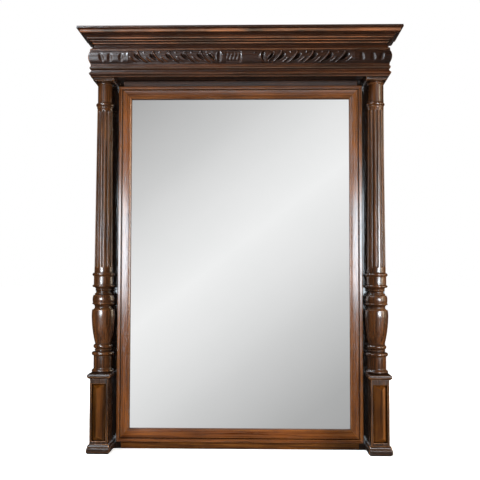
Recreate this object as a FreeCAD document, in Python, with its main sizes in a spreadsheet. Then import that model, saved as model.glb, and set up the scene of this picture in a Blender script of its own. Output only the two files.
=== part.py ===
import FreeCAD, Part
import math
import os
import Sketcher
import PartDesign

doc = FreeCAD.newDocument("carved_mirror")
sheet = doc.addObject("Spreadsheet::Sheet", "Sizes")
Vector = FreeCAD.Vector
Turn = FreeCAD.Rotation
Z_AXIS = Vector(0, 0, 1)

# Sizes in millimetres, grouped by piece
SIZES = {
    # back frame
    "back_half": 463.0, "stile_w": 85.0, "stile_t": 30.0,
    "bottom_rail_h": 37.5, "top_rail_h": 34.5,
    "tenon_len": 44.5, "tenon_t": 10.0, "rebate_w": 10.0, "rebate_d": 8.5,
    # mirror and its frame
    "frame_w": 39.0, "frame_t": 21.0, "frame_lap": 12.5,
    "glass_t": 5.0, "glass_gap": 3.0, "board_t": 7.0,
    # plinths
    "plinth_in": 28.5, "block_w": 56.0, "block_d": 84.5, "block_h": 211.5,
    "panel_side": 6.0, "panel_foot": 19.0, "panel_head": 16.0, "panel_sink": 8.0, "panel_hip": 15.0,
    "cap_w": 71.0, "cap_d": 93.0, "cap_t": 15.5, "cap_nose": 5.0,
    "foot_w": 73.0, "foot_d": 93.5, "foot_t": 19.0, "foot_bevel": 5.0,
    "ovolo_out": 6.0, "ovolo_h": 10.5,
    # columns
    "column_in": 4.5, "column_out": 46.0, "pin_r": 10.0, "pin_len": 14.0,
    "ring_r": 34.5, "ring_h": 11.0, "drum_r": 28.5, "base_drum_h": 37.0,
    "vase_r": 35.5, "vase_foot_r": 24.0, "vase_h": 108.0, "bulb_r": 33.5, "bulb_h": 23.5,
    "waist_r": 21.8, "waist_h": 6.0, "drum_h": 26.5,
    "shaft_foot_r": 28.8, "shaft_head_r": 24.2, "shaft_h": 522.5,
    "flute_r": 3.0, "flute_foot": 17.0, "flute_head": 8.0,
    "neck_r": 22.4, "neck_h": 57.0,
    "capital_d": 79.0, "capital_t": 18.0,
    # entablature
    "header_in": 7.2, "header_out": 88.0, "header_t": 18.0, "header_h": 110.0,
    "soffit_t": 12.0, "top_t": 12.0, "corner_w": 30.0,
    "lip_h": 10.0, "lip_gap": 0.8, "lip_w": 7.6, "architrave_h": 38.0,
    "frieze_out": 18.4, "frieze_h": 46.5, "crown_out": 49.5, "crown_h": 66.5,
    "hollow_pitch": 49.0, "hollow_start": 128.0, "hollow_r": 6.0,
    "lobe_pitch": 33.0, "lobe_start": 375.0, "reed_pitch": 11.0,
    # hanging plates
    "hanger_drop": 182.3, "hanger_w": 26.0, "hanger_h": 70.0, "hanger_t": 2.5, "hanger_sink": 4.5,
    "hanger_hole_r": 4.5, "hanger_room": 22.0,
}
FLUTES = 12
HOLLOWS = 5
LOBES = 3
REEDS = 4
CARVE_SLOPE = 30

for row, (alias, number) in enumerate(SIZES.items(), start=1):
    sheet.set("A%d" % row, alias)
    sheet.set("B%d" % row, "%.3f" % number)
    sheet.setAlias("B%d" % row, alias)
doc.recompute()


# A size carries its expression on the sheet together with its present number
class Size:
    def __init__(self, text, number):
        self.text = text
        self.number = number

    def __add__(self, other):
        return joined(self, "+", other, num(self) + num(other))

    def __radd__(self, other):
        return joined(other, "+", self, num(self) + num(other))

    def __sub__(self, other):
        return joined(self, "-", other, num(self) - num(other))

    def __rsub__(self, other):
        return joined(other, "-", self, num(other) - num(self))

    def __mul__(self, other):
        return joined(self, "*", other, num(self) * num(other))

    def __rmul__(self, other):
        return joined(other, "*", self, num(self) * num(other))

    def __truediv__(self, other):
        return joined(self, "/", other, num(self) / num(other))

    def __neg__(self):
        return joined(-1, "*", self, -num(self))


def num(value):
    return value.number if isinstance(value, Size) else float(value)


def text(value):
    return value.text if isinstance(value, Size) else "%.5f" % value


def joined(a, sign, b, number):
    return Size("(%s %s %s)" % (text(a), sign, text(b)), number)


S = {alias: Size("Sizes." + alias, number) for alias, number in SIZES.items()}


def bind(thing, prop, value):
    thing.setExpression(prop, text(value))


# A document object's place: a fixed turn, and a base point tied to the sheet
def place(thing, at, turn=None):
    thing.Placement = FreeCAD.Placement(Vector(*[num(v) for v in at]), turn or Turn())
    for axis, value in zip("xyz", at):
        bind(thing, "Placement.Base." + axis, value)


def new_body(label, at, turn=None):
    body = doc.addObject("PartDesign::Body", label)
    body.Label = label
    place(body, at, turn)
    return body


def new_sketch(body, plane, lift=0):
    sketch = body.newObject("Sketcher::SketchObject", body.Label + "_sketch")
    support = [o for o in body.Origin.OriginFeatures if o.Role == plane][0]
    sketch.AttachmentSupport = [(support, "")]
    sketch.MapMode = "FlatFace"
    sketch.AttachmentOffset = FreeCAD.Placement(Vector(0, 0, num(lift)), Turn())
    if isinstance(lift, Size):
        bind(sketch, "AttachmentOffset.Base.z", lift)
    return sketch


def constrain(sketch, args, value):
    index = sketch.addConstraint(Sketcher.Constraint(*args, num(value)))
    if isinstance(value, Size):
        sketch.setExpression("Constraints[%d]" % index, value.text)


# Closed outline: points are (u, v) or (u, v, bulge), where a bulge turns the side
# that arrives at the point into an arc; stacked means v is measured from the point before
def outline(sketch, points, stacked=False):
    count = len(points)
    spots = []
    height = 0.0
    for point in points:
        height = height + num(point[1]) if stacked else num(point[1])
        spots.append(Vector(num(point[0]), height, 0))
    sides = []
    for i in range(count):
        j = (i + 1) % count
        a, b = spots[i], spots[j]
        bulge = points[j][2] if len(points[j]) > 2 else 0
        if num(bulge) == 0:
            geo = sketch.addGeometry(Part.LineSegment(a, b), False)
            sides.append((geo, 1, 2))
            continue
        along = (b - a).normalize()
        middle = (a + b) * 0.5 + Vector(along.y, -along.x, 0) * num(bulge)
        geo = sketch.addGeometry(Part.Arc(a, middle, b), False)
        ends = (1, 2) if num(bulge) > 0 else (2, 1)
        sides.append((geo, ends[0], ends[1]))
        du = points[j][0] - points[i][0]
        dv = points[j][1] if stacked else points[j][1] - points[i][1]
        chord = du * du + dv * dv
        depth = bulge if num(bulge) > 0 else 0 - bulge
        constrain(sketch, ("Radius", geo), (chord / 4 + depth * depth) / (2 * depth))
    for i in range(count):
        one, two = sides[i], sides[(i + 1) % count]
        sketch.addConstraint(Sketcher.Constraint("Coincident", one[0], one[2], two[0], two[1]))
    for i, point in enumerate(points):
        geo, head, tail = sides[i]
        constrain(sketch, ("DistanceX", -1, 1, geo, head), point[0])
        if not stacked or i == 0:
            constrain(sketch, ("DistanceY", -1, 1, geo, head), point[1])
        else:
            last = sides[i - 1]
            constrain(sketch, ("DistanceY", last[0], last[1], geo, head), point[1])
    return sides


def rectangle(sketch, u0, v0, u1, v1):
    outline(sketch, [(u0, v0), (u1, v0), (u1, v1), (u0, v1)])


def circle(sketch, u, v, radius):
    geo = sketch.addGeometry(Part.Circle(Vector(num(u), num(v), 0), Z_AXIS, num(radius)), False)
    constrain(sketch, ("DistanceX", -1, 1, geo, 3), u)
    constrain(sketch, ("DistanceY", -1, 1, geo, 3), v)
    constrain(sketch, ("Radius", geo), radius)


def pad(body, sketch, length, back=False):
    feature = body.newObject("PartDesign::Pad", body.Label + "_pad")
    feature.Profile = sketch
    feature.Reversed = back
    bind(feature, "Length", length)
    return feature


# A cut of a given depth, or right through when no depth is given
def cut(body, sketch, depth=None, back=False):
    feature = body.newObject("PartDesign::Pocket", body.Label + "_cut")
    feature.Profile = sketch
    feature.Reversed = back
    if depth is None:
        feature.Type = 1
    else:
        bind(feature, "Length", depth)
    return feature


def board(label, at, wide, deep, high):
    body = new_body(label, at)
    sketch = new_sketch(body, "XY_Plane")
    rectangle(sketch, 0, 0, wide, deep)
    pad(body, sketch, high)
    return body


# A straight run of moulding: x along the run, y outward, z up, mitred in plan at chosen ends
def moulding(label, profile, out, run, at, turn, start, end):
    body = new_body(label, at, Turn(Z_AXIS, turn))
    sketch = new_sketch(body, "YZ_Plane")
    outline(sketch, profile)
    pad(body, sketch, run)
    mitre = new_sketch(body, "XY_Plane")
    if start:
        outline(mitre, [(0, 0), (out, 0), (0, out)])
    if end:
        outline(mitre, [(run, 0), (run, out), (run - out, 0)])
    cut(body, mitre, None, True)
    return body


# A front run with its two returns, on a block centred at x, half wide, with its front at depth out
def wrapped(names, profile, out, x, half, front, back, z):
    face = y_at(front)
    side_run = front - back + out
    front_run = 2 * half + 2 * out
    pieces = [
        moulding(names[0], profile, out, front_run, (x + front_run / 2, face, z), 180, True, True),
        moulding(names[1], profile, out, side_run, (x - half, face - out, z), 90, True, False),
        moulding(names[2], profile, out, side_run, (x + half, y_at(back), z), -90, False, True),
    ]
    return pieces


# World y of a point that stands a depth in front of the back frame's face
face_y = (S["header_out"] + S["crown_out"] - S["stile_t"]) / 2


def y_at(depth):
    return face_y - depth


def set_tip(body, feature):
    body.Tip = feature
    return feature


# A turned ring: chords of a half ellipse that swells from a radius and falls back to it
def bead(high, radius, swell, chords=3):
    steps = []
    for i in range(chords):
        rise = (math.cos(i * math.pi / chords) - math.cos((i + 1) * math.pi / chords)) / 2
        steps.append((rise * high, radius + math.sin((i + 1) * math.pi / chords) * swell))
    return steps


# Turned column: (step up, radius, bulge) from the foot of the shaft's lower pin to its head
ring = S["ring_h"]
tip = S["ring_r"]
drum = S["drum_r"]
waist = S["waist_r"]
vase = S["vase_r"]
bulb = S["bulb_r"]
head = S["shaft_head_r"]
neck = S["neck_r"]
LOWER = [
    *bead(ring, tip - 3.5, 3.5), (6, drum), (S["base_drum_h"], drum), (0, tip - 5),
    *bead(ring + 1, tip - 5, 5), (0, waist + 2.2), (3, waist + 2.2),
    *bead(4, waist + 2.2, 1.8, 2), (3, waist + 2.2), (0, waist + 3.6),
    *bead(ring + 2, waist + 3.6, 4.2), (0, S["vase_foot_r"]),
    (0.73 * S["vase_h"], vase, 2.2), (0.27 * S["vase_h"], vase - 0.9, 0.9),
    (2, vase - 6.5), (2, vase - 6.5), (1, vase - 8.5), (7.3, vase - 8.2), (4.7, tip - 1.5),
    *bead(4.5, tip - 1.5, 1.5, 2), (0.5, bulb - 1.2), (S["bulb_h"], bulb - 2.5, 2),
    (2, waist + 4), *bead(4, waist + 4, 1.2, 2), (1.5, waist + 0.6), (S["waist_h"], waist + 0.6),
    (1, waist + 2.2), *bead(3.5, waist + 2.2, 1.1, 2), (4.8, waist + 3.8), (2.2, tip - 4.3),
    *bead(ring - 3, tip - 4.3, 3.9), (S["drum_h"], drum + 1.7),
    *bead(ring, drum + 1.7, 4.3), (0, S["shaft_foot_r"]),
]
UPPER = [
    (S["shaft_h"], head), (0, head + 1.2), (4.5, head + 1.2), (0.8, head + 0.4),
    *bead(ring, head + 0.4, 3.8), (0, neck), (S["neck_h"], neck), (1, neck + 1.2),
    *bead(6, neck + 1.2, 2.8), (0, neck + 3.6), (2.5, neck + 3.6),
]


def total(steps):
    height = Size("0", 0.0)
    for step in steps:
        if num(step[0]):
            height = height + step[0]
    return height


shaft_foot_z = total(LOWER)
column_h = total(LOWER + UPPER)

# Levels that follow from the stack of plinth, column and capital
cap_z = S["foot_t"] + S["block_h"]
column_z = cap_z + S["cap_t"]
capital_z = column_z + column_h
soffit_z = capital_z + S["capital_t"]
header_z = soffit_z + S["soffit_t"]
top_z = header_z + S["header_h"]

# Plinths, columns and entablature are set in from the outer edge of the back frame
plinth_x = S["back_half"] - S["plinth_in"]
column_x = plinth_x - S["column_in"]
header_half = S["back_half"] - S["header_in"]

# The opening of the back frame, and the panels that fill it
open_half = S["back_half"] - S["stile_w"]
open_top = soffit_z - S["top_rail_h"]
tenon_in = (S["stile_t"] - S["rebate_d"] - S["tenon_t"]) / 2
mortise_deep = S["tenon_len"] + 0.5
hanger_x = S["back_half"] - S["stile_w"] / 2
hanger_z = soffit_z - S["hanger_drop"]


def make_stile(label, side):
    body = new_body(label, (side * S["back_half"], face_y, 0))
    blank = new_sketch(body, "XZ_Plane")
    rectangle(blank, 0, 0, -side * S["stile_w"], soffit_z)
    pad(body, blank, S["stile_t"], True)
    inner = -side * S["stile_w"]
    # mortises for the rails
    slots = new_sketch(body, "XZ_Plane", -tenon_in)
    for low, high in ((6, S["bottom_rail_h"] - 12), (open_top + 12, soffit_z - 6)):
        rectangle(slots, inner, low, inner + side * mortise_deep, high)
    cut(body, slots, S["tenon_t"])
    # rebate for the boards at the back
    rebate = new_sketch(body, "XZ_Plane", S["rebate_d"] - S["stile_t"])
    low, high = S["bottom_rail_h"] - S["rebate_w"], open_top + S["rebate_w"]
    rectangle(rebate, inner, low, inner + side * S["rebate_w"], high)
    cut(body, rebate, S["rebate_d"])
    # seat of the hanging plate, with room behind its hole
    middle = -side * S["stile_w"] / 2
    seat = new_sketch(body, "XZ_Plane", S["hanger_sink"] - S["stile_t"])
    half_w, half_h = S["hanger_w"] / 2 + 0.2, S["hanger_h"] / 2 + 0.2
    rectangle(seat, middle - half_w, hanger_z - half_h, middle + half_w, hanger_z + half_h)
    cut(body, seat, S["hanger_sink"])
    room = new_sketch(body, "XZ_Plane", S["hanger_room"] - S["stile_t"])
    circle(room, middle, hanger_z, 2 * S["hanger_hole_r"])
    return set_tip(body, cut(body, room, S["hanger_room"]))


def make_rail(label, low, high, lower_edge):
    body = new_body(label, (0, face_y, 0))
    blank = new_sketch(body, "XZ_Plane")
    rectangle(blank, -open_half, low, open_half, high)
    pad(body, blank, S["stile_t"], True)
    # tenons stand 0.2 clear of their mortises
    tenons = new_sketch(body, "XZ_Plane", -tenon_in - 0.2)
    reach = open_half + S["tenon_len"]
    if lower_edge:
        rectangle(tenons, -reach, low + 12.2, reach, high - 6.2)
    else:
        rectangle(tenons, -reach, low + 6.2, reach, high - 12.2)
    pad(body, tenons, S["tenon_t"] - 0.4, True)
    rebate = new_sketch(body, "XZ_Plane", S["rebate_d"] - S["stile_t"])
    if lower_edge:
        rectangle(rebate, -open_half, low, open_half, low + S["rebate_w"])
    else:
        rectangle(rebate, -open_half, high - S["rebate_w"], open_half, high)
    return set_tip(body, cut(body, rebate, S["rebate_d"]))


make_stile("left_stile", -1)
make_stile("right_stile", 1)
make_rail("bottom_rail", 0, S["bottom_rail_h"], False)
make_rail("top_rail", open_top, soffit_z, True)

# Mirror frame: profile is (inward, out of the wall), mitred at both ends
fw, ft = S["frame_w"], S["frame_t"]
FRAME = [
    (0, 0), (fw, 0), (fw, 0.36 * ft), (fw - 1, 0.43 * ft, 0.4), (fw - 3, 0.46 * ft), (fw - 3.4, 0.54 * ft),
    (0.38 * fw, 0.94 * ft, 0.8), (0.34 * fw, 0.88 * ft, 0.5), (0.34 * fw, 0.7 * ft), (0.25 * fw, 0.7 * ft),
    (0.25 * fw, 0.93 * ft), (0.21 * fw, ft, 0.5), (0.05 * fw, ft), (0, 0.9 * ft, 0.5),
]
frame_half = open_half + S["frame_lap"]
frame_low = S["bottom_rail_h"] - S["frame_lap"]
frame_high = open_top + S["frame_lap"]


def frame_side(label, run, at, angle):
    turn = Turn(Vector(0, 1, 0), angle).multiply(Turn(Vector(1, 0, 0), 90))
    body = new_body(label, at, turn)
    sketch = new_sketch(body, "YZ_Plane")
    outline(sketch, FRAME)
    pad(body, sketch, run)
    mitre = new_sketch(body, "XY_Plane")
    outline(mitre, [(0, 0), (fw, fw), (0, fw)])
    outline(mitre, [(run, 0), (run, fw), (run - fw, fw)])
    cut(body, mitre, None, True)


frame_side("frame_moulding_bottom", 2 * frame_half, (-frame_half, face_y, frame_low), 0)
frame_side("frame_moulding_top", 2 * frame_half, (frame_half, face_y, frame_high), 180)
frame_side("frame_moulding_left", frame_high - frame_low, (-frame_half, face_y, frame_high), 90)
frame_side("frame_moulding_right", frame_high - frame_low, (frame_half, face_y, frame_low), -90)

# Mirror plate behind the moulding, held by blocks between glass and frame edge
glass_half = open_half - S["glass_gap"]
glass_low = S["bottom_rail_h"] + S["glass_gap"]
glass_high = open_top - S["glass_gap"]
board("mirror_plate", (-glass_half, face_y, glass_low), 2 * glass_half, S["glass_t"], glass_high - glass_low)

blocks = new_body("glazing_blocks", (0, face_y + S["glass_t"], 0))
block_sketch = new_sketch(blocks, "XZ_Plane")
block_rise = (open_top - S["bottom_rail_h"]) / 4
for side in (-1, 1):
    for step in (1, 2, 3):
        z = S["bottom_rail_h"] + step * block_rise
        rectangle(block_sketch, side * open_half, z - 25, side * (open_half - 14), z + 25)
    for edge, inward in ((S["bottom_rail_h"], 1), (open_top, -1)):
        u = side * open_half / 2
        rectangle(block_sketch, u - 25, edge, u + 25, edge + inward * 14)
pad(blocks, block_sketch, S["stile_t"] - S["rebate_d"] - S["glass_t"] - 0.3, True)

# Boards in the rebate of the back
board_half = open_half + S["rebate_w"] - 0.4
board_low = S["bottom_rail_h"] - S["rebate_w"] + 0.4
board_high = open_top + S["rebate_w"] - 0.4
board_y = face_y + S["stile_t"] - S["rebate_d"]
board_w = (2 * board_half - 1) / 3
for index, name in enumerate(("backboard_left", "backboard_middle", "backboard_right")):
    left = -board_half + index * (board_w + 0.5)
    board(name, (left, board_y, board_low), board_w, S["board_t"], board_high - board_low)


# Plinths: foot, block with a sunk front, hipped panel, mitred ovolo and nosed cap
def edges_of(feature, wanted):
    names = []
    for index, edge in enumerate(feature.Shape.Edges, start=1):
        if wanted(edge.BoundBox):
            names.append("Edge%d" % index)
    return names


def dress(body, kind, feature, wanted, prop, size):
    doc.recompute()
    trim = body.newObject("PartDesign::" + kind, body.Label + "_trim")
    trim.Base = (feature, edges_of(feature, wanted))
    bind(trim, prop, size)
    return set_tip(body, trim)


# A level plate whose front and side edges are dressed; its back stays square
def plate(label, x, z, wide, deep, high):
    body = new_body(label, (x - wide / 2, y_at(deep), z))
    sketch = new_sketch(body, "XY_Plane")
    rectangle(sketch, 0, 0, wide, deep)
    return body, pad(body, sketch, high)


def level_edge(box, z, back):
    return abs(box.ZMin - z) < 0.01 and abs(box.ZMax - z) < 0.01 and box.YMin < back - 0.01


ov, oh = S["ovolo_out"], S["ovolo_h"]
OVOLO = [(0, 0), (ov, 0), (ov, 0.3 * oh), (0.25 * ov, 0.92 * oh, 1.3), (0.25 * ov, oh), (0, oh)]


def make_plinth(name, side):
    x = side * plinth_x
    body, feature = plate(name + "_plinth_foot", x, 0, S["foot_w"], S["foot_d"], S["foot_t"])
    deep = num(S["foot_d"])
    feature = dress(body, "Fillet", feature, lambda b: level_edge(b, num(S["foot_t"]), deep), "Radius",
                    0.6 * S["foot_bevel"])
    dress(body, "Chamfer", feature, lambda b: level_edge(b, 0, deep), "Size", S["foot_bevel"])

    body, feature = plate(name + "_plinth_block", x, S["foot_t"], S["block_w"], S["block_d"], S["block_h"])
    sunk = new_sketch(body, "XZ_Plane")
    panel_w = S["block_w"] - 2 * S["panel_side"]
    panel_h = S["block_h"] - S["panel_foot"] - S["panel_head"]
    rectangle(sunk, S["panel_side"], S["panel_foot"], S["panel_side"] + panel_w, S["panel_foot"] + panel_h)
    set_tip(body, cut(body, sunk, S["panel_sink"]))

    ridge = doc.addObject("Part::Wedge", name + "_plinth_panel")
    ridge.Label = name + "_plinth_panel"
    wide, high = panel_w - 0.6, panel_h - 0.6
    spans = {
        "Xmin": Size("0", 0.0), "Xmax": wide, "X2min": wide / 2 - 0.5, "X2max": wide / 2 + 0.5,
        "Ymin": Size("0", 0.0), "Ymax": S["panel_sink"] + 1.5,
        "Zmin": Size("0", 0.0), "Zmax": high, "Z2min": S["panel_hip"], "Z2max": high - S["panel_hip"],
    }
    for prop, value in spans.items():
        bind(ridge, prop, value)
    floor_y = y_at(S["block_d"] - S["panel_sink"])
    place(ridge, (x + wide / 2, floor_y, S["foot_t"] + S["panel_foot"] + 0.3), Turn(Z_AXIS, 180))

    sides = ("outer", "inner") if side < 0 else ("inner", "outer")
    names = [name + "_plinth_ovolo_" + word for word in ("front",) + sides]
    wrapped(names, OVOLO, ov, x, S["block_w"] / 2, S["block_d"], 0, S["foot_t"])

    body, feature = plate(name + "_plinth_cap", x, cap_z, S["cap_w"], S["cap_d"], S["cap_t"])
    deep = num(S["cap_d"])
    feature = dress(body, "Fillet", feature, lambda b: level_edge(b, num(S["cap_t"]), deep), "Radius",
                    S["cap_nose"])
    feature = dress(body, "Chamfer", feature, lambda b: level_edge(b, 0, deep), "Size", S["cap_nose"])
    socket = new_sketch(body, "XY_Plane")
    off = S["cap_w"] / 2 - side * S["column_in"]
    circle(socket, off, S["cap_d"] - S["column_out"], S["pin_r"] + 0.2)
    set_tip(body, cut(body, socket, None, True))


# Column: one turning, then a round-ended flute repeated about its axis
def make_column(name, side):
    body = new_body(name + "_column", (side * column_x, y_at(S["column_out"]), column_z))
    turning = new_sketch(body, "XZ_Plane")
    points = [(0, -S["pin_len"]), (S["pin_r"], 0), (S["pin_r"], S["pin_len"]), (S["ring_r"] - 3.5, 0)]
    for step in LOWER + UPPER:
        points.append((step[1], step[0]) + step[2:])
    points += [(S["pin_r"], 0), (S["pin_r"], S["pin_len"]), (0, 0)]
    outline(turning, points, stacked=True)
    shaft = body.newObject("PartDesign::Revolution", body.Label + "_turning")
    shaft.Profile = turning
    shaft.ReferenceAxis = (turning, ["V_Axis"])
    shaft.Angle = 360

    fluting = new_sketch(body, "XZ_Plane")
    low = shaft_foot_z + S["flute_foot"]
    high = shaft_foot_z + S["shaft_h"] - S["flute_head"]
    fall = (S["shaft_foot_r"] - S["shaft_head_r"]) / S["shaft_h"]
    r = S["flute_r"]
    r_low = S["shaft_foot_r"] - S["flute_foot"] * fall
    r_high = S["shaft_head_r"] + S["flute_head"] * fall
    sides = outline(fluting, [
        (r_low, low), (r_high, high), (r_high - 0.7 * r, high - 0.3 * r), (r_high - r, high - r),
        (r_low - r, low + r), (r_low - 0.7 * r, low + 0.3 * r),
    ])
    line = Part.LineSegment(Vector(num(r_low), num(low), 0), Vector(num(r_high), num(high), 0))
    axis = fluting.addGeometry(line, True)
    fluting.addConstraint(Sketcher.Constraint("Coincident", axis, 1, sides[0][0], 1))
    fluting.addConstraint(Sketcher.Constraint("Coincident", axis, 2, sides[0][0], 2))
    flute = body.newObject("PartDesign::Groove", body.Label + "_flute")
    flute.Profile = fluting
    flute.ReferenceAxis = (fluting, ["Axis0"])
    flute.Angle = 360
    around = body.newObject("PartDesign::PolarPattern", body.Label + "_flutes")
    around.Originals = [flute]
    around.Axis = ([o for o in body.Origin.OriginFeatures if o.Role == "Z_Axis"][0], [""])
    around.Angle = 360
    around.Occurrences = FLUTES
    set_tip(body, around)


def make_capital(name, side):
    x = side * column_x
    width = 2 * (S["plinth_in"] + S["column_in"])
    body, feature = plate(name + "_capital_block", x, capital_z, width, S["capital_d"], S["capital_t"])
    deep = num(S["capital_d"])
    dress(body, "Chamfer", feature, lambda b: level_edge(b, 0, deep), "Size", Size("2", 2.0))
    socket = new_sketch(body, "XY_Plane")
    circle(socket, width / 2, S["capital_d"] - S["column_out"], S["pin_r"] + 0.2)
    set_tip(body, cut(body, socket, S["pin_len"] + 0.5, True))


for name, side in (("left", -1), ("right", 1)):
    make_plinth(name, side)
    make_column(name, side)
    make_capital(name, side)

# Entablature box: soffit, header boards on it, dust board on top
hh, ho, ht = header_half, S["header_out"], S["header_t"]
box_deep = ho + S["stile_t"]
back_y = y_at(-S["stile_t"])
board("soffit_board", (-hh, y_at(ho), soffit_z), 2 * hh, box_deep, S["soffit_t"])
board("header_board", (-hh, y_at(ho), header_z), 2 * hh, ht, S["header_h"])
board("header_end_left", (-hh, y_at(ho) + ht, header_z), ht, box_deep - ht, S["header_h"])
board("header_end_right", (hh - ht, y_at(ho) + ht, header_z), ht, box_deep - ht, S["header_h"])
board("header_back", (ht - hh, back_y - ht, header_z), 2 * (hh - ht), ht, S["header_h"])
board("top_board", (-hh, y_at(ho), top_z), 2 * hh, box_deep, S["top_t"])

corner_blocks = new_body("corner_blocks", (0, y_at(ho) + ht, header_z))
corners = new_sketch(corner_blocks, "XY_Plane")
cw = S["corner_w"]
room_deep = box_deep - 2 * ht
for side in (-1, 1):
    u = side * (hh - ht)
    outline(corners, [(u, 0), (u - side * cw, 0), (u, cw)])
    outline(corners, [(u, room_deep), (u - side * cw, room_deep), (u, room_deep - cw)])
pad(corner_blocks, corners, S["header_h"])

# Architrave: a lip that hangs below the soffit clear of the stiles, a fillet and a bead
ah, lip, lw = S["architrave_h"], S["lip_h"], S["lip_w"]
lin = S["header_in"] + S["lip_gap"]
ao = lin + lw
rise = (ah - lip) / 28
ARCHITRAVE = [
    (lin, 0), (lin + 0.34 * lw, 0), (lin + 0.94 * lw, 0.75 * lip, -0.9), (ao, 0.8 * lip), (ao, lip + 2 * rise),
    (0.64 * ao, lip + 9.5 * rise, -1), (0.62 * ao, lip + 11 * rise), (0.71 * ao, lip + 12.5 * rise),
    (0.71 * ao, lip + 23 * rise, 3.2), (0.73 * ao, lip + 24 * rise), (0.73 * ao, ah), (0, ah),
    (0, lip), (lin, lip),
]
architrave_z = soffit_z - lip
names = ["architrave_front", "architrave_left", "architrave_right"]
wrapped(names, ARCHITRAVE, ao, 0, hh, ho, 0 - S["stile_t"], architrave_z)

# Frieze: a swelling cushion between two fillets
fo, fh = S["frieze_out"], S["frieze_h"]
FRIEZE = [
    (0, 0), (0.65 * fo, 0), (0.65 * fo, 0.06 * fh), (0.65 * fo, 0.94 * fh, 0.35 * fo),
    (0.73 * fo, 0.94 * fh), (0.73 * fo, fh), (0, fh),
]
frieze_z = architrave_z + ah
names = ["frieze_front", "frieze_left", "frieze_right"]
frieze = wrapped(names, FRIEZE, fo, 0, hh, ho, 0 - S["stile_t"], frieze_z)[0]


# Carving: a spoon hollow, upright or leaning, repeated along the front from a start towards one end
def carve(body, side, start, pitch, count, lean, radius):
    sketch = new_sketch(body, "XZ_Plane", -fo)
    u = hh + fo + side * start
    slope = -side * lean * fh
    top, foot = (u, 0.86 * fh), (u + slope, 0.14 * fh)
    bend = slope / (0.72 * fh)

    def spot(share, off):
        return (u + share * slope - off, (0.86 - 0.72 * share) * fh - off * bend)

    outline(sketch, [
        top, spot(0.35, 0.7 * radius), spot(0.76, radius), foot, spot(0.76, -radius), spot(0.35, -0.7 * radius),
    ])
    spoon = cut(body, sketch, 0.75 * radius, True)
    spoon.TaperAngle = -CARVE_SLOPE
    row = body.newObject("PartDesign::LinearPattern", "spoons")
    row.Originals = [spoon]
    row.Direction = ([o for o in body.Origin.OriginFeatures if o.Role == "X_Axis"][0], [""])
    row.Reversed = side < 0
    bind(row, "Length", (count - 1) * pitch)
    row.Occurrences = count
    set_tip(body, row)


carve(frieze, 1, -1.5 * S["reed_pitch"], S["reed_pitch"], REEDS, 0, 0.5 * S["hollow_r"])
for side in (-1, 1):
    carve(frieze, side, S["hollow_start"], S["hollow_pitch"], HOLLOWS, 0.45, S["hollow_r"])
    carve(frieze, side, S["lobe_start"], S["lobe_pitch"], LOBES, 0, S["hollow_r"])

# Cornice: bed bead, neck, three reeds, ovolo and top fascia
co, ch = S["crown_out"], S["crown_h"]
CROWN = [
    (0, 0), (13.6, 0), (13.0, 13, 2.4), (9.2, 14.4), (9.2, 20.6), (10.5, 20.8), (15.8, 26.2, 1.5),
    (15.2, 27.1), (20.4, 32.4, 1.5), (19.8, 33.3), (25.8, 39.2, 1.7), (25.2, 40.4), (28.4, 42.4),
    (29.2, 44.4), (45.8, 60.2, 3.0), (46.8, 60.4), (46.8, 61.4), (49.5, 61.6), (49.5, 68), (0, 68),
]
CORNICE = []
for point in CROWN:
    out, up, *bulge = point
    CORNICE.append((out / 49.5 * co, up / 68 * ch, *[b / 49.5 * co for b in bulge]))
names = ["cornice_front", "cornice_left", "cornice_right"]
wrapped(names, CORNICE, co, 0, hh, ho, 0 - S["stile_t"], frieze_z + fh)

# Hanging plates in the backs of the stiles
plate_y = back_y - S["hanger_sink"]
for name, side in (("left_hanger", -1), ("right_hanger", 1)):
    body = new_body(name, (side * hanger_x, plate_y, hanger_z))
    sketch = new_sketch(body, "XZ_Plane")
    half_w, half_h = S["hanger_w"] / 2, S["hanger_h"] / 2
    rectangle(sketch, -half_w, -half_h, half_w, half_h)
    pad(body, sketch, S["hanger_t"], True)
    hole = new_sketch(body, "XZ_Plane")
    circle(hole, 0, 0, S["hanger_hole_r"])
    set_tip(body, cut(body, hole))

doc.recompute()

# Every shape is checked before it is written
os.makedirs("parts", exist_ok=True)
written = 0
for thing in doc.Objects:
    for word in thing.State:
        if word in ("Invalid", "Error"):
            raise RuntimeError("%s is %s" % (thing.Label, word))
    if thing.TypeId not in ("PartDesign::Body", "Part::Wedge"):
        continue
    shape = thing.Shape
    if shape.isNull() or not shape.isValid() or not shape.Solids:
        raise RuntimeError("%s has no sound shape" % thing.Label)
    shape.exportStep("parts/%s.step" % thing.Label)
    written += 1
print("pieces written:", written)
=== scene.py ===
import math

import bpy
from mathutils import Matrix, Vector, noise


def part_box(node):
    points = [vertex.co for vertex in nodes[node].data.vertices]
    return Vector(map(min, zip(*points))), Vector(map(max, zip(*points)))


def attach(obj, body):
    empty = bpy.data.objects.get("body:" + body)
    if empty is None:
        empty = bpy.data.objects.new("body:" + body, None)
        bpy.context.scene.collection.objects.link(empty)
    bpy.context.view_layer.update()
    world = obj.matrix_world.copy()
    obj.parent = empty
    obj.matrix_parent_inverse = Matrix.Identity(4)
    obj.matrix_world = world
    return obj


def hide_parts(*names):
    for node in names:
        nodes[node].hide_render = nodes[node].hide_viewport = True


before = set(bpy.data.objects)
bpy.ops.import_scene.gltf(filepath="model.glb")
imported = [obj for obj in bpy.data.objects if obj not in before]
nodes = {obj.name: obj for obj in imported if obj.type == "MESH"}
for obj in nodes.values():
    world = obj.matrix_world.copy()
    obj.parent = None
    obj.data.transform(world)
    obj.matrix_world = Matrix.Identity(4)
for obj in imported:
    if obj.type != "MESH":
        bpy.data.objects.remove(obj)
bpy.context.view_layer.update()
MM = 0.001
SIDES = ("left", "right")
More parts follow.
